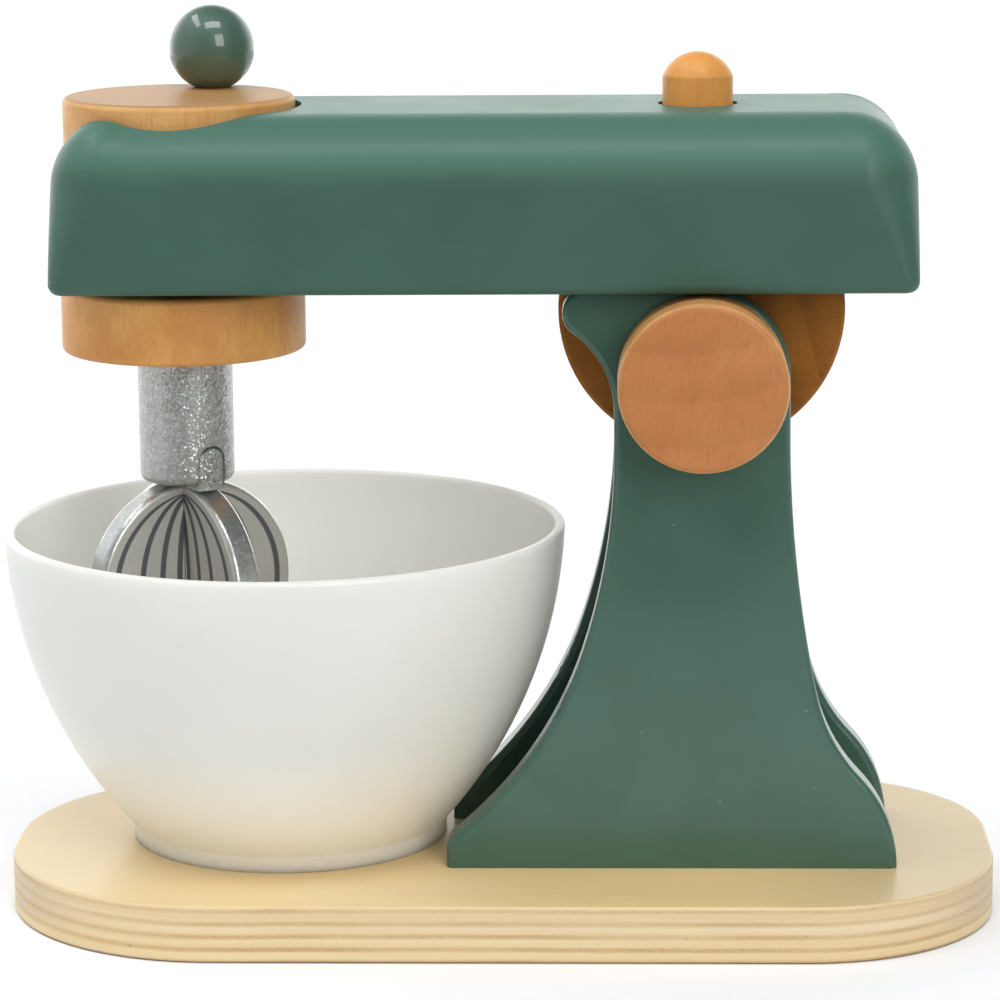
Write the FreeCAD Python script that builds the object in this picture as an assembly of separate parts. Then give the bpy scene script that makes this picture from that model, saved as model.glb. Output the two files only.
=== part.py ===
import FreeCAD, Part
import math
import os

V = FreeCAD.Vector

# Toy stand mixer, in millimetres. X runs along the board, Y away from the
# front, Z up. The origin is the centre of the board's underside.

# Fits
glue_gap = 0.05            # between a glued dowel or tenon and its hole, on the radius
running_gap = 0.08         # between a turning or sliding piece and its bore, on the radius
face_gap = 0.4             # between faces that turn past each other
contact_gap = 0.02         # between two pieces that rest on each other
overcut = 1.0              # how far a cutting shape runs past the face that it cuts

# Base board of birch plywood
board_length = 220.0
board_depth = 105.5
board_thickness = 12.5
board_left_radius = 48.5
board_right_radius = 43.0
board_edge_round = 0.8

# Pivot of the tilting head, measured from the board's centre and top face
pivot_x = 44.7
pivot_height = 109.8
axle_radius = 6.0
knob_radius = 18.3
knob_thickness = 15.2
knob_rim_round = 1.6
knob_back_round = 0.8
knob_hole_depth = 10.0

# The two uprights
upright_thickness = 9.0
upright_spacing = 30.0
upright_foot_left = 56.2   # from the pivot's X to the toe
upright_foot_right = 43.1
neck_half_width = 19.05
sweep_start = 17.5         # the neck's left edge ends this far under the pivot
sweep_neck_radius = 140.0  # the sweep's first arc, next to the neck
sweep_neck_turn = 18.3     # and its angle
sweep_radius = 89.0
toe_round = 4.0
hook_radius = 21.3
hook_drop = 7.9            # the hook's arc is centred this far under the pivot
nose_round = 5.4
flare_start = 10.8         # the neck's right edge ends this far under the pivot
flare_neck_radius = 293.0
flare_bend_radius = 38.6
heel_radius = 29.8
upright_edge_round = 1.5
rest_height = 19.2         # from the pivot up to the arm's underside

# Screws from under the board into the uprights
screw_radius = 1.9
screw_head_radius = 3.9
screw_length = 32.0
screw_head_land = 0.4
screw_head_depth = 2.8
screw_tip = 5.0
screw_inset = 20.0         # from each end of an upright's foot
screw_recess_width = 1.0
screw_recess_length = 4.4
screw_recess_depth = 1.4

# Arm
arm_height = 37.4
arm_width = 67.0
arm_reach_left = 25.6      # beyond the rotor's axis
arm_reach_right = 45.9     # beyond the pivot
arm_top_round = 15.5
arm_corner_top = 18.0      # the upright corners taper from this radius down to the foot's
arm_corner_foot = 2.8
arm_lower_round = 2.4

# Hinge block under the arm
block_radius = 31.1
block_drop = 5.9           # the block's circle is centred this far under the arm
block_side_gap = 1.0
block_edge_round = 1.0
block_dowel_radius = 4.0
block_dowel_length = 22.0
block_dowel_spread = 20.0

# Rotor: crank disc, ball, axle and collar
throat = 114.1             # from the rotor's axis to the pivot
disc_radius = 25.4
disc_pocket_gap = 1.4
disc_pocket_depth = 15.0
disc_stand = 2.3           # how far the disc stands above the arm
disc_edge_round = 1.4
rotor_axle_radius = 6.0
disc_socket_depth = 11.0
ball_radius = 9.6
ball_centre_height = 8.8
ball_offset = 18.4
ball_bearing = 72.0
ball_dowel_radius = 2.5
ball_dowel_depth = 8.0
collar_radius = 26.9
collar_thickness = 14.6
collar_gap = 1.7
collar_edge_round = 1.3

# Whisk
shaft_radius = 10.5
shaft_length = 29.6
shaft_end_round = 2.0
shaft_socket_depth = 10.0
whisk_half_width = 24.8
whisk_upper_height = 23.5
whisk_lower_height = 26.0
blade_thickness = 6.5
blade_edge_round = 1.3
blade_tab_height = 8.6
blade_tab_root = 1.0       # how far the tab reaches down into its blade
whisk_bearing = 38.0

# Push button
button_radius = 7.7
button_x = -0.7            # from the pivot's X
button_stand = 11.2
button_dome_height = 5.4
button_mouth_gap = 1.0
button_cap = 6.0           # arm left above the button's flange
button_flange_radius = 10.5
button_flange_thickness = 9.0
button_travel = 5.0
button_spigot_radius = 4.0
spring_wire_radius = 0.5
spring_radius = 5.6
spring_turns = 5
spring_seat_depth = 1.5

# Bowl
bowl_x = -48.4
bowl_y = 7.5
bowl_height = 71.7
bowl_rim_radius = 63.0
bowl_curve_radius = 107.5  # arc that the outside of the wall follows
bowl_rim_lean = 1.9        # the wall leans out by this angle at the rim
bowl_wall = 2.3
bowl_rim_round = 1.1
bowl_floor = 4.2
bowl_foot_radius = 35.6
bowl_foot_height = 2.8
bowl_foot_ring = 4.0
bowl_foot_recess = 1.6
bowl_floor_round = 6.0

# Places worked out from the sizes above
board_top = board_thickness
pivot_z = board_top + pivot_height
arm_bottom = pivot_z + rest_height
arm_top = arm_bottom + arm_height
rotor_x = pivot_x - throat
arm_left = rotor_x - arm_reach_left
arm_right = pivot_x + arm_reach_right
inner_y = upright_spacing / 2
outer_y = inner_y + upright_thickness
pocket_floor = arm_top - disc_pocket_depth
disc_bottom = pocket_floor + face_gap
disc_top = arm_top + disc_stand
collar_top = arm_bottom - collar_gap
collar_bottom = collar_top - collar_thickness
shaft_bottom = collar_bottom - shaft_length
whisk_middle = shaft_bottom - whisk_upper_height
block_centre_z = arm_bottom - block_drop
button_axis_x = pivot_x + button_x
flange_top = arm_top - button_cap
flange_bottom = flange_top - button_flange_thickness
spring_seat = arm_bottom - spring_seat_depth
spigot_bottom = spring_seat + contact_gap + button_travel


# Planes: a profile's (u, v) as a point
def in_plan(u, v):
    return V(u, v, 0)


def in_front(u, v):
    return V(u, 0, v)


def line(a, b):
    return Part.LineSegment(a, b).toShape()


def arc(centre, radius, start, end, plane):
    """Arc from one angle to another in degrees, round a centre in a plane."""
    def at(angle):
        t = math.radians(angle)
        return plane(centre[0] + radius * math.cos(t), centre[1] + radius * math.sin(t))
    return Part.Arc(at(start), at((start + end) / 2), at(end)).toShape()


def joined(pieces):
    """Closed face of pieces in order, with straight edges across the gaps."""
    edges = []
    for piece, following in zip(pieces, pieces[1:] + pieces[:1]):
        edges.append(piece)
        a = piece.lastVertex(True).Point
        b = following.firstVertex(True).Point
        if a.distanceToPoint(b) > 1e-6:
            edges.append(line(a, b))
    return Part.Face(Part.Wire(edges))


def rounded_rectangle(low, high, radii, plane):
    """Rectangle with its own radius at each corner, from the low corner round."""
    (u0, v0), (u1, v1) = low, high
    corners = [(u0, v0, 1, 1), (u1, v0, -1, 1), (u1, v1, -1, -1), (u0, v1, 1, -1)]
    arcs = []
    for k, (corner, r) in enumerate(zip(corners, radii)):
        u, v, du, dv = corner
        start = 180 + 90 * k
        arcs.append(arc((u + du * r, v + dv * r), r, start, start + 90, plane))
    return joined(arcs)


def rod(radius, start, end):
    """Round rod between two points."""
    along = end - start
    return Part.makeCylinder(radius, along.Length, start, along)


def vertical_rod(radius, x, y, low, high):
    return rod(radius, V(x, y, low), V(x, y, high))


def eased(shape, radius, wanted):
    """The shape with the edges that the test picks rounded."""
    return shape.makeFillet(radius, [e for e in shape.Edges if wanted(e)])


def edge_points(edge):
    first, last = edge.ParameterRange
    return [edge.valueAt(first + (last - first) * k / 4) for k in range(5)]


def on_plane(edge, axis, value):
    return all(abs(p[axis] - value) < 1e-4 for p in edge_points(edge))


def turned(profile, x, y):
    """Solid of a profile of (radius, height) turned about an upright axis."""
    points = [in_front(r, z) for r, z in profile]
    face = Part.Face(Part.makePolygon(points + points[:1]))
    solid = face.revolve(V(0, 0, 0), V(0, 0, 1), 360)
    return solid.translated(V(x, y, 0))


def screw_places():
    left = pivot_x - upright_foot_left + screw_inset
    right = pivot_x + upright_foot_right - screw_inset
    middle = inner_y + upright_thickness / 2
    return [(x, y) for x in (left, right) for y in (-middle, middle)]


def screw(x, y):
    """Countersunk wood screw standing head down."""
    r, head = screw_radius, screw_head_radius
    return turned([(0, 0), (head, 0), (head, screw_head_land), (r, screw_head_depth),
                   (r, screw_length - screw_tip), (0, screw_length)], x, y)


def screw_hole(x, y):
    r, head, top = screw_radius + glue_gap, screw_head_radius + glue_gap, screw_length + glue_gap
    return turned([(0, 0), (head, 0), (head, screw_head_land), (r, screw_head_depth),
                   (r, top), (0, top)], x, y)


def base_board():
    half_l, half_d = board_length / 2, board_depth / 2
    radii = (board_left_radius, board_right_radius, board_right_radius, board_left_radius)
    face = rounded_rectangle((-half_l, -half_d), (half_l, half_d), radii, in_plan)
    board = face.extrude(V(0, 0, board_thickness))
    board = eased(board, board_edge_round,
                  lambda e: on_plane(e, 2, 0) or on_plane(e, 2, board_thickness))
    for x, y in screw_places():
        board = board.cut(screw_hole(x, y))
    return board


def base_screws():
    screws = []
    for x, y in screw_places():
        body = screw(x, y)
        for turn in (0, 90):
            bar = Part.makeBox(screw_recess_length, screw_recess_width, screw_recess_depth,
                               V(-screw_recess_length / 2, -screw_recess_width / 2, 0))
            bar.rotate(V(0, 0, 0), V(0, 0, 1), turn)
            body = body.cut(bar.translated(V(x, y, 0)))
        screws.append(body)
    return Part.makeCompound(screws)


def meeting_centre(a, reach_a, b, reach_b):
    """Centre that lies at one reach from a and another from b, the upper of the two."""
    along = V(b[0] - a[0], 0, b[1] - a[1])
    apart = along.Length
    share = (reach_a * reach_a - reach_b * reach_b + apart * apart) / (2 * apart * apart)
    rise = math.sqrt(reach_a * reach_a - (share * apart) ** 2) / apart
    return a[0] + along.x * share - along.z * rise, a[1] + along.z * share + along.x * rise


def bearing(centre, other):
    """Angle in degrees of the direction from one centre to another."""
    return math.degrees(math.atan2(other[1] - centre[1], other[0] - centre[0]))


def upright_outline():
    """Outline of an upright in the XZ plane, drawn on down to the board's underside."""
    neck_left, neck_right = pivot_x - neck_half_width, pivot_x + neck_half_width
    foot_left, foot_right = pivot_x - upright_foot_left, pivot_x + upright_foot_right
    # The sweep's two arcs, and the toe's arc that ends them
    upper = (neck_left - sweep_neck_radius, pivot_z - sweep_start)
    t = math.radians(sweep_neck_turn)
    shift = sweep_neck_radius - sweep_radius
    lower = (upper[0] + shift * math.cos(t), upper[1] - shift * math.sin(t))
    toe_x = foot_left + toe_round
    lean = math.acos((toe_x - lower[0]) / (sweep_radius + toe_round))
    toe = (toe_x, lower[1] - (sweep_radius + toe_round) * math.sin(lean))
    lean = math.degrees(lean)
    # Nose arc, tangent to the flat top and to the hook
    hook = (neck_left - hook_radius, pivot_z - hook_drop)
    nose_z = arm_bottom - contact_gap - nose_round
    rise = math.degrees(math.asin((nose_z - hook[1]) / (hook_radius + nose_round)))
    nose = (hook[0] + (hook_radius + nose_round) * math.cos(math.radians(rise)), nose_z)
    # Heel, and the bend that joins it to the long arc from the neck
    heel = (foot_right - heel_radius, board_top)
    flare = (neck_right + flare_neck_radius, pivot_z - flare_start)
    bend = meeting_centre(heel, heel_radius + flare_bend_radius,
                          flare, flare_neck_radius - flare_bend_radius)
    heel_turn = bearing(heel, bend)
    flare_turn = bearing(bend, flare) + 180
    top = in_front(pivot_x, arm_bottom - contact_gap)
    side = in_front(neck_right, pivot_z)
    bulge = (neck_half_width + rest_height) / 2 * math.sqrt(0.5)
    shoulder = Part.Arc(side, in_front(pivot_x + bulge, pivot_z + bulge), top).toShape()
    return joined([
        arc(heel, heel_radius, 0, heel_turn, in_front),
        arc(bend, flare_bend_radius, heel_turn + 180, flare_turn, in_front),
        arc(flare, flare_neck_radius, flare_turn, 180, in_front),
        shoulder,
        arc(nose, nose_round, 90, 180 + rise, in_front),
        arc(hook, hook_radius, rise, 0, in_front),
        arc(upper, sweep_neck_radius, 0, -sweep_neck_turn, in_front),
        arc(lower, sweep_radius, -sweep_neck_turn, -lean, in_front),
        arc(toe, toe_round, 180 - lean, 180, in_front),
        line(in_front(foot_left, 0), in_front(foot_right, 0)),
    ])


def upright(side):
    """One upright, in front with side -1 and behind with side 1."""
    near = -outer_y if side < 0 else inner_y
    plate = upright_outline().extrude(V(0, upright_thickness, 0)).translated(V(0, near, 0))
    faces = (near, near + upright_thickness)
    plate = eased(plate, upright_edge_round,
                  lambda e: any(on_plane(e, 1, y) for y in faces) and not on_plane(e, 2, 0))
    plate = plate.cut(Part.makeBox(board_length, board_depth, board_top,
                                   V(pivot_x - board_length / 2, -board_depth / 2, 0)))
    start = V(pivot_x, near - overcut, pivot_z)
    end = V(pivot_x, near + upright_thickness + overcut, pivot_z)
    plate = plate.cut(rod(axle_radius + running_gap, start, end))
    for x, y in screw_places():
        if y * side > 0:
            plate = plate.cut(screw_hole(x, y))
    return plate


def arm_body():
    """Block with a heavily rounded top, the disc's pocket and the bores."""
    block = Part.makeBox(arm_right - arm_left, arm_width, arm_height,
                         V(arm_left, -arm_width / 2, arm_bottom))
    corners = [e for e in block.Edges
               if not on_plane(e, 2, arm_bottom) and not on_plane(e, 2, arm_top)]
    block = block.makeFillet(arm_corner_foot, arm_corner_top, corners)
    block = eased(block, arm_top_round, lambda e: on_plane(e, 2, arm_top))
    block = eased(block, arm_lower_round, lambda e: on_plane(e, 2, arm_bottom))
    low, top = arm_bottom, arm_top
    block = block.cut(vertical_rod(disc_radius + disc_pocket_gap, rotor_x, 0, pocket_floor,
                                   top + overcut))
    block = block.cut(vertical_rod(rotor_axle_radius + running_gap, rotor_x, 0,
                                   low - overcut, top))
    block = block.cut(vertical_rod(button_flange_radius + running_gap, button_axis_x, 0,
                                   low - overcut, flange_top))
    block = block.cut(vertical_rod(button_radius + button_mouth_gap, button_axis_x, 0,
                                   flange_top - overcut, top + overcut))
    return block.cut(dowel_holes())


def dowel_places():
    return [pivot_x - block_dowel_spread, pivot_x + block_dowel_spread]


def block_dowels():
    half = block_dowel_length / 2
    return Part.makeCompound([vertical_rod(block_dowel_radius, x, 0, arm_bottom - half,
                                           arm_bottom + half) for x in dowel_places()])


def dowel_holes():
    half = block_dowel_length / 2 + glue_gap
    return Part.makeCompound([vertical_rod(block_dowel_radius + glue_gap, x, 0,
                                           arm_bottom - half, arm_bottom + half)
                              for x in dowel_places()])


def hinge_block():
    """Round block with a flat top, glued under the arm between the uprights."""
    thick = upright_spacing - 2 * block_side_gap
    start = V(pivot_x, -thick / 2, block_centre_z)
    block = rod(block_radius, start, start + V(0, thick, 0))
    size = 2 * block_radius
    waste = Part.makeBox(size, size, size, V(pivot_x - block_radius, -block_radius, arm_bottom))
    block = block.cut(waste)
    block = eased(block, block_edge_round,
                  lambda e: on_plane(e, 1, thick / 2) or on_plane(e, 1, -thick / 2))
    block = block.cut(rod(axle_radius + running_gap, V(pivot_x, -thick, pivot_z),
                          V(pivot_x, thick, pivot_z)))
    block = block.cut(vertical_rod(spring_radius + 2 * spring_wire_radius, button_axis_x, 0,
                                   spring_seat, arm_bottom + overcut))
    return block.cut(dowel_holes())


def knob(side):
    """Turned knob glued on the pivot axle, outside an upright."""
    inner = side * (outer_y + face_gap)
    outer = inner + side * knob_thickness
    body = rod(knob_radius, V(pivot_x, inner, pivot_z), V(pivot_x, outer, pivot_z))
    body = eased(body, knob_rim_round, lambda e: on_plane(e, 1, outer))
    body = eased(body, knob_back_round, lambda e: on_plane(e, 1, inner))
    hole = rod(axle_radius + glue_gap, V(pivot_x, inner - side, pivot_z),
               V(pivot_x, inner + side * knob_hole_depth, pivot_z))
    return body.cut(hole)


def pivot_axle():
    half = outer_y + face_gap + knob_hole_depth - glue_gap
    return rod(axle_radius, V(pivot_x, -half, pivot_z), V(pivot_x, half, pivot_z))


def ball_place():
    t = math.radians(ball_bearing)
    return rotor_x + ball_offset * math.cos(t), ball_offset * math.sin(t)


def crank_disc():
    disc = vertical_rod(disc_radius, rotor_x, 0, disc_bottom, disc_top)
    disc = eased(disc, disc_edge_round, lambda e: on_plane(e, 2, disc_top))
    disc = disc.cut(vertical_rod(rotor_axle_radius + glue_gap, rotor_x, 0, disc_bottom - overcut,
                                 disc_bottom + disc_socket_depth))
    x, y = ball_place()
    return disc.cut(vertical_rod(ball_dowel_radius + glue_gap, x, y,
                                 disc_top - ball_dowel_depth, disc_top + overcut))


def crank_ball():
    x, y = ball_place()
    ball = Part.makeSphere(ball_radius, V(x, y, disc_top + ball_centre_height))
    size = 2 * ball_radius
    ball = ball.cut(Part.makeBox(size, size, size,
                                 V(x - ball_radius, y - ball_radius, disc_top - size)))
    return ball.cut(vertical_rod(ball_dowel_radius + glue_gap, x, y, disc_top - overcut,
                                 disc_top + ball_dowel_depth))


def ball_dowel():
    x, y = ball_place()
    half = ball_dowel_depth - glue_gap
    return vertical_rod(ball_dowel_radius, x, y, disc_top - half, disc_top + half)


def rotor_axle():
    """Dowel that joins the disc, the collar and the whisk's shaft through the arm."""
    return vertical_rod(rotor_axle_radius, rotor_x, 0,
                        collar_bottom - shaft_socket_depth + glue_gap,
                        disc_bottom + disc_socket_depth - glue_gap)


def whisk_collar():
    collar = vertical_rod(collar_radius, rotor_x, 0, collar_bottom, collar_top)
    collar = eased(collar, collar_edge_round,
                   lambda e: on_plane(e, 2, collar_top) or on_plane(e, 2, collar_bottom))
    return collar.cut(vertical_rod(rotor_axle_radius + glue_gap, rotor_x, 0,
                                   collar_bottom - overcut, collar_top + overcut))


def blade_tab(gap):
    """Round-topped tongue of the long blade, or its slot with a gap."""
    r, half = shaft_radius + overcut, blade_thickness / 2 + gap
    top = shaft_bottom + blade_tab_height - blade_thickness / 2
    low = shaft_bottom - blade_tab_root
    tab = Part.makeBox(2 * r, 2 * half, top - low, V(-r, -half, low))
    return tab.fuse(rod(half, V(-r, 0, top), V(r, 0, top)))


def placed_on_rotor(shape, bearing):
    shape = shape.copy()
    shape.rotate(V(0, 0, 0), V(0, 0, 1), bearing)
    return shape.translated(V(rotor_x, 0, 0))


def whisk_shaft():
    shaft = vertical_rod(shaft_radius, 0, 0, shaft_bottom, collar_bottom)
    shaft = eased(shaft, shaft_end_round, lambda e: on_plane(e, 2, shaft_bottom))
    shaft = shaft.cut(vertical_rod(rotor_axle_radius + glue_gap, 0, 0,
                                   collar_bottom - shaft_socket_depth, collar_bottom + overcut))
    return placed_on_rotor(shaft.cut(blade_tab(glue_gap)), whisk_bearing - 90)


def balloon_blade():
    """Flat egg-shaped blade across the rotor's axis, with rounded edges."""
    w, up, down, z = whisk_half_width, whisk_upper_height, whisk_lower_height, whisk_middle
    quarters = []
    for share, height in ((1, up), (-1, down)):
        edge = half_ellipse(w, height, share)
        quarters.append(edge.translated(V(0, 0, z)))
    blade = Part.Face(Part.Wire(quarters)).extrude(V(0, blade_thickness, 0))
    blade = blade.translated(V(0, -blade_thickness / 2, 0))
    sides = (-blade_thickness / 2, blade_thickness / 2)
    return eased(blade, blade_edge_round, lambda e: any(on_plane(e, 1, y) for y in sides))


def half_ellipse(half_width, height, side):
    """Upper or lower half of an ellipse in the XZ plane, about the origin."""
    wide = half_width >= height
    major, minor = (half_width, height) if wide else (height, half_width)
    along = V(1, 0, 0) if wide else V(0, 0, 1)
    across = V(0, 0, 1) if wide else V(-1, 0, 0)
    curve = Part.Ellipse(along * major, across * minor, V(0, 0, 0))
    start = curve.parameter(V(side * half_width, 0, 0))
    end = curve.parameter(V(-side * half_width, 0, 0))
    if end < start:
        end += 2 * math.pi
    return Part.Edge(curve, start, end)


def lap_slot(low, high):
    """Cut for the other blade where the two cross."""
    half = blade_thickness / 2 + glue_gap
    return Part.makeBox(2 * half, 2 * half, high - low, V(-half, -half, low))


def whisk_blade_long():
    blade = balloon_blade()
    reach = vertical_rod(shaft_radius + glue_gap, 0, 0, shaft_bottom - blade_tab_root,
                         collar_bottom)
    blade = blade.fuse(blade_tab(0).common(reach)).removeSplitter()
    blade = blade.cut(lap_slot(whisk_middle - whisk_lower_height - overcut, whisk_middle))
    return placed_on_rotor(blade, whisk_bearing - 90)


def whisk_blade_cross():
    blade = balloon_blade().cut(lap_slot(whisk_middle, shaft_bottom + overcut))
    return placed_on_rotor(blade, whisk_bearing)


def press_button():
    """Domed dowel with a flange under the arm's cap and a spigot that stops on the block."""
    side_top = arm_top + button_stand - button_dome_height
    r, h = button_radius, button_dome_height
    cap_radius = (r * r + h * h) / (2 * h)
    dome = Part.makeSphere(cap_radius, V(0, 0, side_top + h - cap_radius))
    dome = dome.common(vertical_rod(r, 0, 0, side_top, side_top + h + overcut))
    body = vertical_rod(r, 0, 0, flange_bottom, side_top).fuse(dome)
    flange_high = flange_top - contact_gap
    flange = vertical_rod(button_flange_radius, 0, 0, flange_bottom, flange_high)
    spigot = vertical_rod(button_spigot_radius, 0, 0, spigot_bottom, flange_bottom)
    return body.fuse([flange, spigot]).removeSplitter().translated(V(button_axis_x, 0, 0))


def tangent_arc(start, end, tangent):
    """Arc from start to end that leaves start along the tangent."""
    chord = end - start
    half_turn = tangent.getAngle(chord) / 2
    across = tangent - chord * (tangent.dot(chord) / chord.dot(chord))
    bulge = chord.Length / 2 * math.tan(half_turn)
    middle = start + chord * 0.5 + across.normalize() * bulge
    return Part.Arc(start, middle, end).toShape()


def coil_path(radius, rise, turns):
    """Coil about the Z axis made of tangent arcs, two to each half turn."""
    halves = 2 * turns

    def place(step):
        t = step * math.pi
        return V(radius * math.cos(t), radius * math.sin(t), rise * step / halves)

    def heading(step):
        t = step * math.pi
        slope = rise / halves / (radius * math.pi)
        return V(-math.sin(t), math.cos(t), slope).normalize()

    arcs = []
    for step in range(halves):
        middle = place(step + 0.5)
        arcs.append(tangent_arc(place(step), middle, heading(step)))
        back = tangent_arc(place(step + 1), middle, heading(step + 1) * -1)
        arcs.append(back.reversed())
    return Part.Wire(Part.__sortEdges__(arcs))


def button_spring():
    """Coil spring between the hinge block and the button's flange."""
    low = spring_seat + spring_wire_radius + contact_gap
    high = flange_bottom - spring_wire_radius - contact_gap
    path = coil_path(spring_radius, high - low, spring_turns)
    start = path.OrderedVertexes[0].Point
    circle = Part.Circle(start, V(0, 1, 0), spring_wire_radius)
    coil = path.makePipeShell([Part.Wire(circle.toShape())], True, False)
    return coil.translated(V(button_axis_x, 0, low))


def bowl_shell(inset, low):
    """Solid inside the bowl's curved wall, less an inset, from a height up to the rim."""
    lean = math.radians(bowl_rim_lean)
    centre_r = bowl_rim_radius - bowl_curve_radius * math.cos(lean)
    centre_z = bowl_height + bowl_curve_radius * math.sin(lean)
    r = bowl_curve_radius - inset
    start, end = (math.degrees(math.asin((z - centre_z) / r)) for z in (low, bowl_height))
    wall = arc((centre_r, centre_z), r, start, end, in_front)
    axis = line(in_front(0, bowl_height), in_front(0, low))
    return joined([wall, axis]).revolve(V(0, 0, 0), V(0, 0, 1), 360)


def bowl():
    outer = bowl_shell(0, bowl_foot_height)
    inner = bowl_shell(bowl_wall, bowl_floor)
    inner = eased(inner, bowl_floor_round, lambda e: on_plane(e, 2, bowl_floor))
    foot = vertical_rod(bowl_foot_radius, 0, 0, 0, bowl_floor)
    recess = vertical_rod(bowl_foot_radius - bowl_foot_ring, 0, 0, -overcut, bowl_foot_recess)
    body = outer.fuse(foot).cut(inner).cut(recess).removeSplitter()
    body = eased(body, bowl_rim_round, lambda e: on_plane(e, 2, bowl_height))
    return body.translated(V(bowl_x, bowl_y, board_top + contact_gap))


NODES = {
    "base_board": base_board(),
    "base_screws": base_screws(),
    "front_upright": upright(-1),
    "rear_upright": upright(1),
    "pivot_axle": pivot_axle(),
    "front_knob": knob(-1),
    "rear_knob": knob(1),
    "arm_body": arm_body(),
    "hinge_block": hinge_block(),
    "block_dowels": block_dowels(),
    "crank_disc": crank_disc(),
    "crank_ball": crank_ball(),
    "ball_dowel": ball_dowel(),
    "rotor_axle": rotor_axle(),
    "whisk_collar": whisk_collar(),
    "whisk_shaft": whisk_shaft(),
    "whisk_blade_long": whisk_blade_long(),
    "whisk_blade_cross": whisk_blade_cross(),
    "press_button": press_button(),
    "button_spring": button_spring(),
    "bowl": bowl(),
}

os.makedirs("parts", exist_ok=True)
for name, shape in NODES.items():
    shape.exportStep("parts/" + name + ".step")
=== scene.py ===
import math

import bpy
from mathutils import Matrix, Vector


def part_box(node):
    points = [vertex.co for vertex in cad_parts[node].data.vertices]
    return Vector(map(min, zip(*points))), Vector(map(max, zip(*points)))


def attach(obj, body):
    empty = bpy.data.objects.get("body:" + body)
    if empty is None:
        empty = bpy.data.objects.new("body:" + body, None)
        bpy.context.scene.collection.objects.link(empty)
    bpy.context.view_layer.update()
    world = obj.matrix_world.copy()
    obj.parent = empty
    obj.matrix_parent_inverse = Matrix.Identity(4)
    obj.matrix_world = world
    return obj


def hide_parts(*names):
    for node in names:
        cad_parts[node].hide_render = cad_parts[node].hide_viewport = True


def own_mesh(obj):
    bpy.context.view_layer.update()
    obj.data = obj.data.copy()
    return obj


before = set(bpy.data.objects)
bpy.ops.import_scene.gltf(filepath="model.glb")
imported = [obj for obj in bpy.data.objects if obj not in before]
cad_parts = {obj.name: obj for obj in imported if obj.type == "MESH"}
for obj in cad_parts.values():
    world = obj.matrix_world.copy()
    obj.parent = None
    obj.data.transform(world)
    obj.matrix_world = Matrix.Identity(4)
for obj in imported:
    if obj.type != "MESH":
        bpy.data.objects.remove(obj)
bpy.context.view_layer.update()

MM = 0.001

# The whisk, in millimetres. The sides of its long blade face ROTOR_BEARING from +X towards +Y.
ROTOR_X = -69.4
ROTOR_BEARING = math.radians(38)
SHAFT_FOOT = 95.6
WHISK_MIDDLE = 72.1             # height where the blades are widest
WHISK_HALF_WIDTH = 24.8
WHISK_LOWER = 26.0              # from the middle down to the blades' end
BLADE_HALF = 3.25               # half a blade's thickness, and the tab's half width
TAB_TOP = 100.95                # centre of the tab's round top
WIRES_MEET = 93.3               # height of the printed wires' top
WIRE_PLACES = (0.19, 0.37, 0.58, 0.85)     # shares of the way out to the blade's rim

# The board's plies, in millimetres
PLY_PAIR = 2.87                 # a light ply and a dark one
PLY_SHIFT = 1.32                # how far below the board the first pair starts
PLY_WAVE = 0.45

# Width of the beech's streaks, as a share of their length
STREAK_WIDTH = 0.13

# Smoothing: points this near are joined, in metres, and edges that turn less look round
JOIN_DISTANCE = 1e-6
SHARP_ANGLE = math.radians(28)

# The pale table top that the toy stands on, just under its board, in metres
TABLE_X = (-0.75, 0.75)
TABLE_Y = (-0.33, 1.4)
TABLE_Z = -0.0002

# Brightness of the room all round, and what its left wall and the backdrop add
ROOM_LIGHT = 0.20
LEFT_LIGHT = 0.62
BACKDROP_LIGHT = 2.15
BACKDROP_WHITE = 1.05           # what the camera sees instead

# The soft boxes stand this far from the crank's ball, in metres
BALL = Vector((-0.0637, 0.0175, 0.1900))
LIGHT_DISTANCE = 7.0


class Value:
    """A number that varies over a surface. Operators add Math nodes."""

    def __init__(self, nodes, socket):
        self.nodes = nodes
        self.socket = socket

    def __add__(self, other):
        return self.nodes.math("ADD", self, other)

    def __radd__(self, other):
        return self.nodes.math("ADD", other, self)

    def __sub__(self, other):
        return self.nodes.math("SUBTRACT", self, other)

    def __rsub__(self, other):
        return self.nodes.math("SUBTRACT", other, self)

    def __mul__(self, other):
        return self.nodes.math("MULTIPLY", self, other)

    def __rmul__(self, other):
        return self.nodes.math("MULTIPLY", other, self)

    def __truediv__(self, other):
        return self.nodes.math("DIVIDE", self, other)

    def __rtruediv__(self, other):
        return self.nodes.math("DIVIDE", other, self)

    def __pow__(self, other):
        return self.nodes.math("POWER", self, other)

    def __rpow__(self, other):
        return self.nodes.math("POWER", other, self)

    def __neg__(self):
        return 0 - self

    def __abs__(self):
        return self.nodes.math("ABSOLUTE", self)


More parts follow.
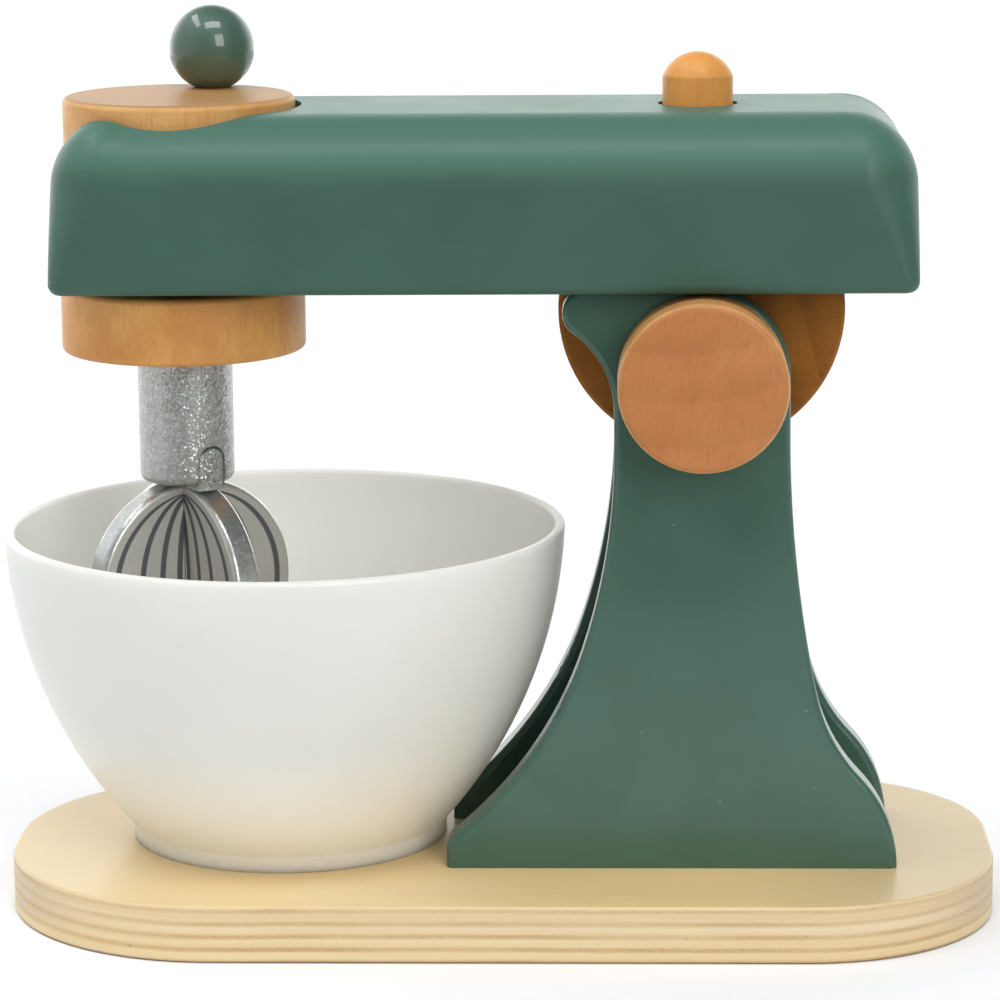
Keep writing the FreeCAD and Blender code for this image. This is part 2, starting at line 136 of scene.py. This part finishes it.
class Nodes:
    """A node tree under construction."""

    def __init__(self, tree):
        self.tree = tree

    def feed(self, node, sockets):
        """Sets or links a node's sockets."""
        for key, value in sockets.items():
            if isinstance(value, Value):
                self.tree.links.new(value.socket, node.inputs[key])
            else:
                node.inputs[key].default_value = value

    def node(self, kind, settings, sockets, output=0):
        """A node of a type: its settings come first, then its sockets' values or links. Gives
        one of its outputs, or the node itself where output is None."""
        node = self.tree.nodes.new(kind)
        for key, value in settings.items():
            setattr(node, key, value)
        self.feed(node, sockets)
        return node if output is None else Value(self, node.outputs[output])

    def math(self, operation, *values):
        return self.node("ShaderNodeMath", {"operation": operation}, dict(enumerate(values)))

    def vector_math(self, operation, sockets):
        return self.node("ShaderNodeVectorMath", {"operation": operation}, sockets)

    def axes(self, vector):
        """The three numbers of a vector or colour."""
        split = self.node("ShaderNodeSeparateXYZ", {}, {0: vector}, None)
        return [Value(self, output) for output in split.outputs]

    def stretched(self, vector, x, y, z):
        """Coordinates scaled by their own share along each axis."""
        return self.vector_math("MULTIPLY", {0: vector, 1: (x, y, z)})

    def noise(self, at, scale, detail=3.0, roughness=0.5, distortion=0.0):
        """Soft lumps, as many to the millimetre as scale says."""
        return self.node("ShaderNodeTexNoise", {},
                         {"Vector": at, "Scale": scale, "Detail": detail,
                          "Roughness": roughness, "Distortion": distortion})

    def cells(self, at, scale, output="Distance"):
        """Cells, as many to the millimetre as scale says: how far it is to the middle of each,
        or each cell's own colour."""
        return self.node("ShaderNodeTexVoronoi", {}, {"Vector": at, "Scale": scale}, output)

    def band(self, value, low, high):
        """0 below low, 1 above high, smooth between them."""
        return self.node("ShaderNodeMapRange", {"interpolation_type": "SMOOTHSTEP"},
                         {0: value, 1: low, 2: high, 3: 0.0, 4: 1.0})

    def mix(self, share, first, second):
        """Colour between two colours, through the Mix node's sockets for colours."""
        return self.node("ShaderNodeMix", {"data_type": "RGBA"},
                         {0: share, 6: first, 7: second}, 2)

    def bump(self, height, strength, depth):
        """Relief that is depth millimetres deep."""
        return self.node("ShaderNodeBump", {}, {"Strength": strength, "Distance": depth * MM,
                                                "Height": height})


class Finish(Nodes):
    """A material under construction: a Principled shader and the nodes that feed it."""

    def __init__(self, name, **fixed):
        self.material = bpy.data.materials.new(name)
        self.material.use_nodes = True
        super().__init__(self.material.node_tree)
        self.tree.nodes.clear()
        self.shader = self.node("ShaderNodeBsdfPrincipled", {}, {}, None)
        self.node("ShaderNodeOutputMaterial", {}, {0: Value(self, self.shader.outputs[0])}, None)
        self.surface(**fixed)

    def surface(self, **sockets):
        """Sets or links sockets of the shader, and gives the material."""
        self.feed(self.shader, {key.replace("_", " "): value for key, value in sockets.items()})
        return self.material

    def place(self):
        """Coordinates of the piece at rest, in millimetres."""
        metres = self.node("ShaderNodeTexCoord", {}, {}, "Object")
        return self.vector_math("SCALE", {0: metres, "Scale": 1 / MM})

    def facing(self):
        """How far the surface faces along X, Y and Z, from -1 to 1, with the piece at rest."""
        return self.axes(self.node("ShaderNodeTexCoord", {}, {}, "Normal"))


def srgb(r, g, b):
    """Linear colour of an 8-bit screen colour."""
    def linear(c):
        c /= 255
        return c / 12.92 if c <= 0.04045 else ((c + 0.055) / 1.055) ** 2.4
    return (linear(r), linear(g), linear(b), 1.0)


def green_paint(name, rough, gloss, warm=0.0, shine=0.5, above=0.0, below=0.0):
    """Sage green lacquer, with a faint orange peel and a few specks of dust under it. It may be
    lighter where it faces up, as painted light from above, and lighter and browner where it faces
    down, as a painted reflection of the wood beneath it."""
    paint = Finish(name, IOR=1.5, Specular_IOR_Level=shine, Coat_Weight=gloss,
                   Coat_Roughness=0.05, Coat_IOR=1.5)
    at = paint.place()
    cloud = paint.noise(at, 0.05, 4.0)
    fine = paint.noise(at, 2.6, 3.0, 0.6)
    peel = paint.noise(at, 0.75, 2.0)
    speck = 1 - paint.band(paint.cells(at, 0.11), 0.022, 0.04)
    colour = paint.mix(paint.band(cloud, 0.35, 0.65), srgb(51, 92, 78), srgb(56, 97, 83))
    colour = paint.mix(paint.band(fine, 0.45, 0.75) * 0.2, colour, srgb(68, 111, 95))
    colour = paint.mix(speck * 0.35, colour, srgb(140, 170, 155))
    colour = paint.mix(warm, colour, srgb(96, 96, 80))
    up = paint.facing()[2]
    # painted light: lighter where the surface faces up, where the light from above falls
    colour = paint.mix(paint.band(up, 0.12, 0.5) * above, colour, srgb(70, 111, 97))
    # painted reflection: lighter and browner where the surface faces down, towards the wood
    # beneath it
    colour = paint.mix((1 - paint.band(up, -0.75, 0.3)) * below, colour, srgb(122, 128, 102))
    height = peel * 0.05 + speck * 0.25 + fine * 0.02
    return paint.surface(Base_Color=colour, Roughness=rough + paint.band(cloud, 0.3, 0.7) * 0.05,
                         Normal=paint.bump(height, 0.35, 0.25))


def beech(name, pith_axis, streak_axis, pith, ring_width, ring_start, ring_depth,
          light, tint, dark, face=None, rim=None, shine=0.5):
    """Lacquered beech. Its year rings lie round the pith, a line along one axis, and its fine
    short streaks run along another or the same. The upper face may be darker, as painted shade
    against the light from above, and the turned rim and side of a knob lighter, as a painted
    highlight."""
    wood = Finish(name, IOR=1.45, Specular_IOR_Level=shine, Coat_Weight=0.12 * shine,
                  Coat_Roughness=0.12, Coat_IOR=1.5)
    at = wood.place()
    across = [value for axis, value in zip("XYZ", wood.axes(at)) if axis != pith_axis]
    first, second = (value - middle for value, middle in zip(across, pith))
    radius = (first * first + second * second) ** 0.5
    wander = wood.noise(at, 0.05) - 0.5
    ring = wood.math("FRACT", radius / ring_width + wander * 0.5 + ring_start)
    late = wood.band(ring, 0.3, 0.94) * (1 - wood.band(ring, 0.955, 1.0))
    shares = [STREAK_WIDTH if axis == streak_axis else 1.0 for axis in "XYZ"]
    streaks = wood.noise(wood.stretched(at, *shares), 1.9, 4.0, 0.68)
    fleck_shares = [(1 + share) / 2 for share in shares]
    flecks = 1 - wood.band(wood.cells(wood.stretched(at, *fleck_shares), 0.9), 0.12, 0.34)
    mottle = wood.noise(at, 0.8, 3.0, 0.7)
    cloud = wood.noise(at, 0.06)
    colour = wood.mix(wood.band(cloud, 0.3, 0.7), light, tint)
    # painted shade: the upper face gets a darker tone, to tone down the light that falls on it
    # from above
    if face:
        colour = wood.mix(wood.band(wood.facing()[2], 0.55, 0.95), colour, face)
    # painted highlight: the rim and side of a knob get a lighter tone where the light catches
    # them
    if rim:
        flat = wood.band(abs(wood.facing()[1]), 0.5, 0.88)
        colour = wood.mix(0.6 - 0.6 * flat, colour, rim)
    colour = wood.mix(late * ring_depth, colour, dark)
    colour = wood.mix(wood.band(streaks, 0.42, 0.7) * 0.24, colour, dark)
    colour = wood.mix(wood.band(mottle, 0.45, 0.75) * 0.12, colour, dark)
    colour = wood.mix(flecks * 0.12, colour, dark)
    height = streaks * 0.4 + late * ring_depth * 0.3 + flecks * 0.2
    return wood.surface(Base_Color=colour, Roughness=0.42 + streaks * 0.16,
                        Normal=wood.bump(height, 0.2, 0.1))


def birch_plywood():
    """Birch plywood under clear lacquer: face veneer above, crossed plies along the edge. The
    plies cut across show darkest low down and greyer at the board's ends."""
    board = Finish("birch_plywood", IOR=1.5, Specular_IOR_Level=0.3, Coat_Weight=0.1,
                   Coat_Roughness=0.07, Coat_IOR=1.5)
    at = board.place()
    x, _, z = board.axes(at)
    facing_x, _, facing_z = board.facing()
    end = board.band(facing_x * facing_x, 0.25, 0.85)
    top = board.band(facing_z, 0.5, 0.9)
    low = 1 - board.band(z, 1.5, 8.5)
    wave = board.noise(board.stretched(at, 0.3, 0.3, 0.0), 0.16, 2.0) - 0.5
    ply = board.math("FRACT", (z + wave * PLY_WAVE + PLY_SHIFT) / PLY_PAIR)
    cross = board.band(ply, 0.2, 0.46) * (1 - board.band(ply, 0.54, 0.8)) * (1 - top)
    weight = board.noise(board.stretched(at, 0.06, 0.06, 0.5), 0.5, 2.0)
    long_grain = board.noise(board.stretched(at, 0.035, 1.0, 0.9), 1.5, 4.0, 0.62)
    end_grain = board.noise(board.stretched(at, 1.0, 1.0, 1.4), 1.9, 3.0, 0.6)
    figure = board.noise(board.stretched(at, 0.02, 0.35, 1.0), 0.35, 4.0, 0.6, 1.2)
    cloud = board.noise(board.stretched(at, 0.5, 1.0, 1.0), 0.022)
    tone = board.noise(board.stretched(at, 0.01, 0.01, 0.55), 1.0, 1.0)
    veneer = board.mix(board.band(cloud, 0.35, 0.65), srgb(228, 206, 160), srgb(226, 197, 141))
    veneer = board.mix(board.band(figure, 0.4, 0.75) * 0.2, veneer, srgb(206, 172, 118))
    # painted shade: the veneer darkens towards the board's ends, to tone down the sheen there
    veneer = board.mix(board.band(abs(x), 45.0, 95.0) * 0.75, veneer, srgb(197, 178, 138))
    plies = board.mix(board.band(tone, 0.35, 0.65), srgb(222, 203, 166), srgb(215, 192, 152))
    plies = board.mix(low * 0.5, plies, srgb(218, 195, 146))
    grey = end * board.band(z, 2.5, 4.0) * (0.5 + 0.5 * board.band(end_grain, 0.4, 0.65))
    plies = board.mix(grey, plies, srgb(196, 174, 142))
    colour = board.mix(top, plies, veneer)
    colour = board.mix(board.band(long_grain, 0.45, 0.8) * 0.16, colour, srgb(200, 164, 110))
    depth = cross * (0.4 + 0.35 * low + 0.5 * board.band(weight, 0.35, 0.7)) * (1 - end * 0.45)
    colour = board.mix(depth * 0.62, colour, srgb(186, 150, 98))
    colour = board.mix(depth * board.band(end_grain, 0.42, 0.7) * 0.35, colour,
                       srgb(160, 118, 70))
    pores = board.cells(board.stretched(at, 0.6, 1.0, 1.0), 0.3)
    pore = (1 - board.band(pores, 0.06, 0.13)) * cross * low
    colour = board.mix(pore * 0.55, colour, srgb(120, 92, 56))
    height = long_grain * 0.3 - depth * 0.5 - end_grain * depth * 0.4 - pore * 0.4
    return board.surface(Base_Color=colour, Roughness=0.4 + long_grain * 0.08 + cross * 0.12,
                         Normal=board.bump(height, 0.2, 0.12))


def silver_paint(name, printed):
    """Silver paint full of fine flakes that each lie at their own angle. The blades' flat faces
    are smooth and have printed wires, and painted shade darkens the gap round the long blade's
    tab and the crease where the blades cross."""
    silver = Finish(name, IOR=1.5, Coat_Weight=0.3, Coat_Roughness=0.12, Coat_IOR=1.5)
    at = silver.place()
    flakes = silver.cells(at, 2.7, "Color")
    red, green, blue = silver.axes(silver.cells(at, 2.0, "Color"))
    cloud = silver.noise(at, 0.25)
    colour = silver.mix(red, srgb(168, 170, 166), srgb(183, 186, 182))
    colour = silver.mix(silver.band(green, 0.92, 0.97) * 0.4, colour, srgb(236, 236, 232))
    colour = silver.mix(silver.band(cloud, 0.5, 0.7) * 0.25, colour, srgb(146, 138, 130))
    metal = 0.82 + 0.06 * blue
    rough = 0.32 + 0.1 * green
    tilt = 0.44
    side, out, z = from_rotor(silver, at)
    # painted shade in the gap round the tab
    ink_and_shade = tab_gap_shade(silver, side, out, z)
    if printed:
        side, out = abs(side), abs(out)
        tab = silver.band(z, SHAFT_FOOT - 1.0, SHAFT_FOOT - 0.2)
        flat = silver.band(silver.math("MINIMUM", side, out), BLADE_HALF - 0.25,
                           BLADE_HALF - 0.05) * (1 - tab)
        grain = silver.noise(at, 1.6, 4.0, 0.7)
        colour = silver.mix(flat * 0.95, colour, srgb(199, 198, 192))
        colour = silver.mix(flat * silver.band(grain, 0.4, 0.75) * 0.3, colour,
                            srgb(158, 155, 148))
        colour = silver.mix((1 - flat) * (1 - tab) * 0.5, colour, srgb(196, 202, 202))
        metal = metal - flat * 0.5
        rough = 0.3 + (1 - flat) * 0.08 * green
        tilt = 0.16 - flat * 0.16 + tab * 0.5
        ink_and_shade = silver.math("MAXIMUM", ink_and_shade, wires_and_crease_shade(silver, side, out, z) * flat)
    # the wires are print; the crease and the gap round the tab are painted shade
    colour = silver.mix(ink_and_shade, colour, srgb(62, 66, 74))
    lean = silver.vector_math("SUBTRACT", {0: flakes, 1: (0.5, 0.5, 0.5)})
    lean = silver.vector_math("SCALE", {0: lean, "Scale": tilt})
    normal = silver.node("ShaderNodeNewGeometry", {}, {}, "Normal")
    tilted = silver.vector_math("ADD", {0: normal, 1: lean})
    tilted = silver.vector_math("NORMALIZE", {0: tilted})
    return silver.surface(Base_Color=colour, Metallic=metal * (1 - ink_and_shade * 0.8),
                          Roughness=rough + ink_and_shade * 0.1, Normal=tilted)


def from_rotor(silver, at):
    """Signed distances from the middle planes of the long and the cross blade, and the height."""
    x, y, z = silver.axes(at)
    x = x - ROTOR_X
    c, s = math.cos(ROTOR_BEARING), math.sin(ROTOR_BEARING)
    return x * c + y * s, y * c - x * s, z


def tab_gap_shade(silver, side, out, z):
    """Mask of painted shade in the narrow gap between the long blade's round-topped tab and the
    shaft. The gap is closed up, and so the shade fainter, on the left."""
    rise = silver.math("MAXIMUM", z - TAB_TOP, 0.0)
    edge = (side * side + rise * rise) ** 0.5 - BLADE_HALF
    line = 1 - silver.band(abs(edge), 0.15, 0.5)
    outside = silver.band(abs(out), 4.0, 5.0)
    above_foot = silver.band(z, SHAFT_FOOT - 0.6, SHAFT_FOOT + 0.2)
    open_side = 1 - silver.band(-side, 1.6, 3.0) * 0.7
    return line * outside * above_foot * open_side


def wires_and_crease_shade(silver, side, out, z):
    """Mask of four dark printed lines on each half of a blade. They follow its egg shape and meet
    at the top as a whisk's wires do. The crease where the blades cross is darkened too, as
    painted shade."""
    reach = silver.math("MAXIMUM", side, out)
    up = (z - WHISK_MIDDLE) / (WIRES_MEET - WHISK_MIDDLE)
    down = (WHISK_MIDDLE - z) / WHISK_LOWER
    share = silver.math("MAXIMUM", up, down)
    width = silver.math("MAXIMUM", 1 - share * share, 0.0) ** 0.5 * WHISK_HALF_WIDTH
    # painted shade in the crease where the blades cross
    ink_and_shade = (1 - silver.band(reach, BLADE_HALF - 0.05, BLADE_HALF + 0.35)) * 0.8
    for place in WIRE_PLACES:
        line = 1 - silver.band(abs(reach - width * place), 0.52, 0.9)
        ink_and_shade = silver.math("MAXIMUM", ink_and_shade, line)
    return ink_and_shade * (1 - silver.band(z, WIRES_MEET - 0.6, WIRES_MEET + 0.2)) * 0.92


def bowl_plastic():
    """Smooth off-white plastic with a satin surface, a very fine mottle and painted light low
    down.
    """
    bowl = Finish("cream_plastic", IOR=1.48, Subsurface_Weight=0.9, Subsurface_Scale=0.008,
                  Subsurface_Radius=(1.0, 1.0, 1.0))
    at = bowl.place()
    cloud = bowl.noise(at, 0.03)
    mottle = bowl.noise(at, 1.4, 3.0, 0.7)
    low = 1 - bowl.band(bowl.axes(at)[2], 20.0, 48.0)
    colour = bowl.mix(bowl.band(cloud, 0.3, 0.7), srgb(222, 223, 217), srgb(218, 219, 212))
    # painted light: lighter and warmer low down, standing in for light bounced up from the board
    colour = bowl.mix(low, colour, srgb(243, 237, 222))
    colour = bowl.mix(bowl.band(mottle, 0.55, 0.8) * 0.25, colour, srgb(208, 206, 196))
    return bowl.surface(Base_Color=colour, Roughness=0.34 + bowl.band(mottle, 0.3, 0.8) * 0.08,
                        Normal=bowl.bump(mottle * 0.4 + cloud, 0.15, 0.1))


def zinc_steel():
    """Zinc-plated steel with fine drawn lines."""
    steel = Finish("zinc_steel", IOR=1.5)
    at = steel.place()
    drawn = steel.noise(steel.stretched(at, 1.0, 1.0, 4.0), 1.6)
    red, green, _ = steel.axes(steel.cells(at, 0.9, "Color"))
    colour = steel.mix(red, srgb(176, 180, 184), srgb(204, 206, 206))
    return steel.surface(Base_Color=colour, Metallic=0.92 + 0.05 * green,
                         Roughness=0.28 + drawn * 0.2, Normal=steel.bump(drawn, 0.2, 0.05))


def floor_paint():
    """Pale matt paint for the table top, with a very faint cloud in it."""
    floor = Finish("pale_floor", IOR=1.4, Roughness=0.7)
    cloud = floor.noise(floor.place(), 0.004)
    return floor.surface(Base_Color=floor.mix(cloud, (0.88, 0.90, 0.93, 1),
                                              (0.90, 0.92, 0.95, 1)))


def smooth_tree():
    """Geometry nodes that join a mesh's split corners and leave only its sharp edges sharp."""
    tree = bpy.data.node_groups.new("smooth_rounds", "GeometryNodeTree")
    for direction in ("INPUT", "OUTPUT"):
        tree.interface.new_socket("Geometry", in_out=direction,
                                  socket_type="NodeSocketGeometry")
    rounds = Nodes(tree)
    mesh = rounds.node("NodeGroupInput", {}, {})
    mesh = rounds.node("GeometryNodeMergeByDistance", {}, {0: mesh, "Distance": JOIN_DISTANCE})
    mesh = rounds.node("GeometryNodeSetShadeSmooth", {"domain": "FACE"}, {0: mesh})
    angle = rounds.node("GeometryNodeInputMeshEdgeAngle", {}, {})
    mesh = rounds.node("GeometryNodeSetShadeSmooth", {"domain": "EDGE"},
                       {0: mesh, "Shade Smooth": rounds.math("LESS_THAN", angle, SHARP_ANGLE)})
    rounds.node("NodeGroupOutput", {}, {0: mesh}, None)
    return tree


def smooth(piece, tree):
    """Makes a piece's rounds look round and its flat faces flat."""
    rounds = piece.modifiers.new("smooth_rounds", "NODES")
    rounds.node_group = tree
    weighted = piece.modifiers.new("weighted", "WEIGHTED_NORMAL")
    weighted.keep_sharp = True


def node_finishes():
    """The finish of every CAD node, by the node's name."""
    orange = {"light": srgb(192, 127, 73), "tint": srgb(184, 118, 64),
              "dark": srgb(138, 82, 40)}
    tan = srgb(168, 106, 50)
    uprights = green_paint("green_paint_upright", rough=0.22, gloss=0.1, warm=0.13)
    shaft = silver_paint("silver_paint", printed=False)
    blades = silver_paint("silver_paint_printed", printed=True)
    steel = zinc_steel()
    dowels = beech("beech_dowels", "Z", "Z", pith=(60, 40), ring_width=5.0, ring_start=0.0,
                   ring_depth=0.3, **orange)
    # The knobs' lighter rim and side are a painted highlight.
    knobs = beech("beech_knobs", "Y", "Z", pith=(38.7, 182.6), ring_width=9.8, ring_start=0.54,
                  ring_depth=0.15, rim=srgb(224, 174, 110), **orange)
    return {
        "base_board": birch_plywood(),
        "base_screws": steel,
        "button_spring": steel,
        "front_upright": uprights,
        "rear_upright": uprights,
        # The arm's lighter upper rounding is painted light from above.
        "arm_body": green_paint("green_paint", rough=0.45, gloss=0.04, warm=0.12, shine=0.3,
                                above=0.95),
        # The ball's lighter, browner underside is a painted reflection of the wooden disc.
        "crank_ball": green_paint("green_paint_ball", rough=0.46, gloss=0.8, warm=0.14,
                                  below=0.32),
        "pivot_axle": beech("beech_axle", "Y", "Y", pith=(20, 100), ring_width=5.0,
                            ring_start=0.0, ring_depth=0.3, **orange),
        "front_knob": knobs,
        "rear_knob": knobs,
        # painted shade: the block's beech is darker, as it sits in shade between the two plates
        "hinge_block": beech("beech_block_painted_shade", "Y", "X", pith=(202, 171), ring_width=9.0,
                             ring_start=0.342, ring_depth=0.28, light=srgb(166, 104, 32),
                             tint=srgb(148, 90, 24), dark=srgb(84, 46, 8), shine=0.25),
        "block_dowels": dowels,
        "ball_dowel": dowels,
        "rotor_axle": dowels,
        # The disc's darker upper face is painted shade.
        "crank_disc": beech("beech_disc", "X", "Z", pith=(30, 90), ring_width=8.0,
                            ring_start=0.2, ring_depth=0.17, light=srgb(224, 177, 116),
                            tint=srgb(216, 160, 95), dark=tan, face=srgb(168, 131, 84),
                            shine=0.25),
        "whisk_collar": beech("beech_collar", "Z", "Z", pith=(10, 90), ring_width=11.0,
                              ring_start=0.1, ring_depth=0.16, light=srgb(224, 166, 92),
                              tint=srgb(204, 139, 70), dark=tan),
        "press_button": beech("beech_button", "Z", "Z", pith=(70, 50), ring_width=5.0,
                              ring_start=0.3, ring_depth=0.14, light=srgb(228, 160, 80),
                              tint=srgb(220, 150, 72), dark=srgb(180, 114, 50)),
        "whisk_shaft": shaft,
        "whisk_blade_long": blades,
        "whisk_blade_cross": blades,
        "bowl": bowl_plastic(),
    }


def dress_nodes():
    """Gives every CAD node its finish and smooth rounds, and adds the button's coil."""
    finishes = node_finishes()
    tree = smooth_tree()
    for name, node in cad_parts.items():
        node.data.materials.clear()
        node.data.materials.append(finishes[name])
        smooth(node, tree)
    smooth(button_coil(), tree)


def add_object(name, data):
    """A new object in the scene."""
    added = bpy.data.objects.new(name, data)
    bpy.context.scene.collection.objects.link(added)
    return added


def button_coil():
    """The button's spring, copied as a piece of its own that rides on the head in place of the
    CAD node.
    """
    low, high = (Vector(corner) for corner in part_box("button_spring"))
    seat = (low + high) / 2
    seat.z = low.z
    coil = add_object("button_coil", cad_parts["button_spring"].data.copy())
    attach(coil, "head")
    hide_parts("button_spring")
    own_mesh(coil)
    return coil


def camera():
    """Camera fitted to the photograph, whose picture is 1000 pixels wide."""
    yaw, pitch, roll = math.radians(1.788), math.radians(11.597), math.radians(-0.457)
    target, distance = Vector((0.215, 0, 90.575)) * MM, 0.879006
    focal_pixels, picture_pixels, sensor_mm = 3945.44, 1000, 36
    back = Vector((math.sin(yaw) * math.cos(pitch), -math.cos(yaw) * math.cos(pitch),
                   math.sin(pitch)))
    right = (-back).cross(Vector((0, 0, 1))).normalized()
    up = right.cross(-back)
    x_axis = right * math.cos(roll) + up * math.sin(roll)
    y_axis = up * math.cos(roll) - right * math.sin(roll)
    data = bpy.data.cameras.new("camera")
    data.sensor_width = sensor_mm
    data.lens = focal_pixels / picture_pixels * sensor_mm
    data.clip_start = 0.01
    data.clip_end = 60
    cam = add_object("camera", data)
    turn = Matrix((x_axis, y_axis, back)).transposed().to_4x4()
    cam.matrix_world = Matrix.Translation(target + back * distance) @ turn
    bpy.context.scene.camera = cam


def soft_box(name, direction, spread, radiance, roll=0.0):
    """Soft box seen from the ball in a direction, its width and height given per metre away."""
    data = bpy.data.lights.new(name, "AREA")
    data.shape = "RECTANGLE"
    data.size, data.size_y = (share * LIGHT_DISTANCE for share in spread)
    data.energy = radiance * math.pi * data.size * data.size_y
    lamp = add_object(name, data)
    lamp.location = BALL + Vector(direction).normalized() * LIGHT_DISTANCE
    aim = (lamp.location - BALL).to_track_quat("Z", "Y")
    lamp.rotation_euler = (aim.to_matrix() @ Matrix.Rotation(roll, 3, "Z")).to_euler()


def table_top():
    """The pale table top, one flat face just under the board."""
    mesh = bpy.data.meshes.new("floor")
    corners = [(x, y, TABLE_Z) for y in TABLE_Y for x in TABLE_X]
    mesh.from_pydata(corners, [], [(0, 1, 3, 2)])
    floor = add_object("floor", mesh)
    floor.data.materials.append(floor_paint())


def white_room():
    """Room of soft light all round, brighter on the left and low down behind the table. The
    camera itself sees it as plain white."""
    world = bpy.data.worlds.new("studio")
    world.use_nodes = True
    room = Nodes(world.node_tree)
    east, north, height = room.axes(room.node("ShaderNodeTexCoord", {}, {}, "Generated"))
    seen = room.node("ShaderNodeLightPath", {}, {}, "Is Camera Ray")
    low = 1 - room.band(height, 0.3, 0.7)
    lit = ROOM_LIGHT + LEFT_LIGHT * (1 - room.band(east, -0.95, -0.1))
    lit = lit + BACKDROP_LIGHT * room.band(north, 0.2, 0.95) * low
    room.feed(world.node_tree.nodes["Background"],
              {"Color": (1.0, 1.0, 1.0, 1.0), "Strength": lit + seen * (BACKDROP_WHITE - lit)})
    bpy.context.scene.world = world


def studio():
    """Table top, white room and three soft boxes."""
    table_top()
    white_room()
    soft_box("left_strip", (-0.500, 0.020, 0.866), spread=(0.18, 0.85), radiance=6.0,
             roll=math.radians(95))
    soft_box("top_box", (0.096, -0.370, 0.924), spread=(0.63, 0.33), radiance=7.5)
    soft_box("front_box", (0.440, -0.820, 0.380), spread=(0.38, 0.55), radiance=6.0)
    scene = bpy.context.scene
    scene.view_settings.view_transform = "Standard"
    scene.view_settings.look = "None"


camera()
studio()
dress_nodes()
